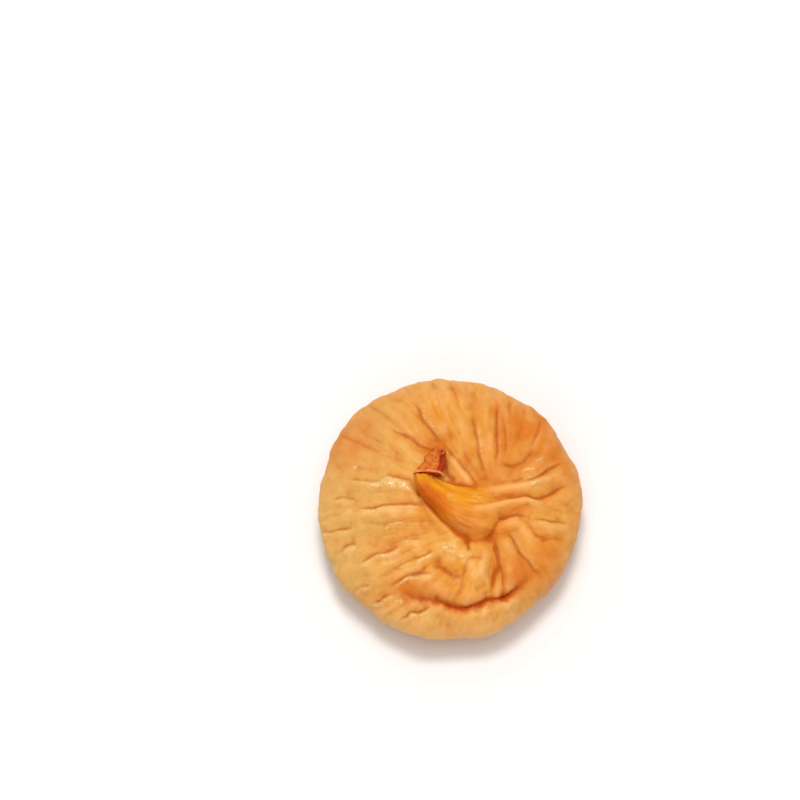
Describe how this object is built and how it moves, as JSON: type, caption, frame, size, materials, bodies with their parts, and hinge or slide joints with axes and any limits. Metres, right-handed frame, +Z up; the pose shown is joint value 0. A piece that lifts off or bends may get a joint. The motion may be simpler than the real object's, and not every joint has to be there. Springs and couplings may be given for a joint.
{
  "type": "dried fig",
  "caption": "Pressed dried fig lying flat, its neck folded down over the wrinkled upper face and ending in the cut stub of its stalk.",
  "frame": {"origin": "on the resting plane, under the middle of the fig's bounding box", "axes": "+Z up from the resting plane to the neck; +Y is the way the stalk points, away from the deep fold inside the near rim; +X is right as seen from above with +Y away"},
  "size_m": [0.0444, 0.046, 0.0164],
  "materials": {
    "skin": "satin",
    "stalk": "matte"
  },
  "bodies": {
    "root": {"fruit": "skin", "stalk": "stalk"}
  },
  "joints": []
}
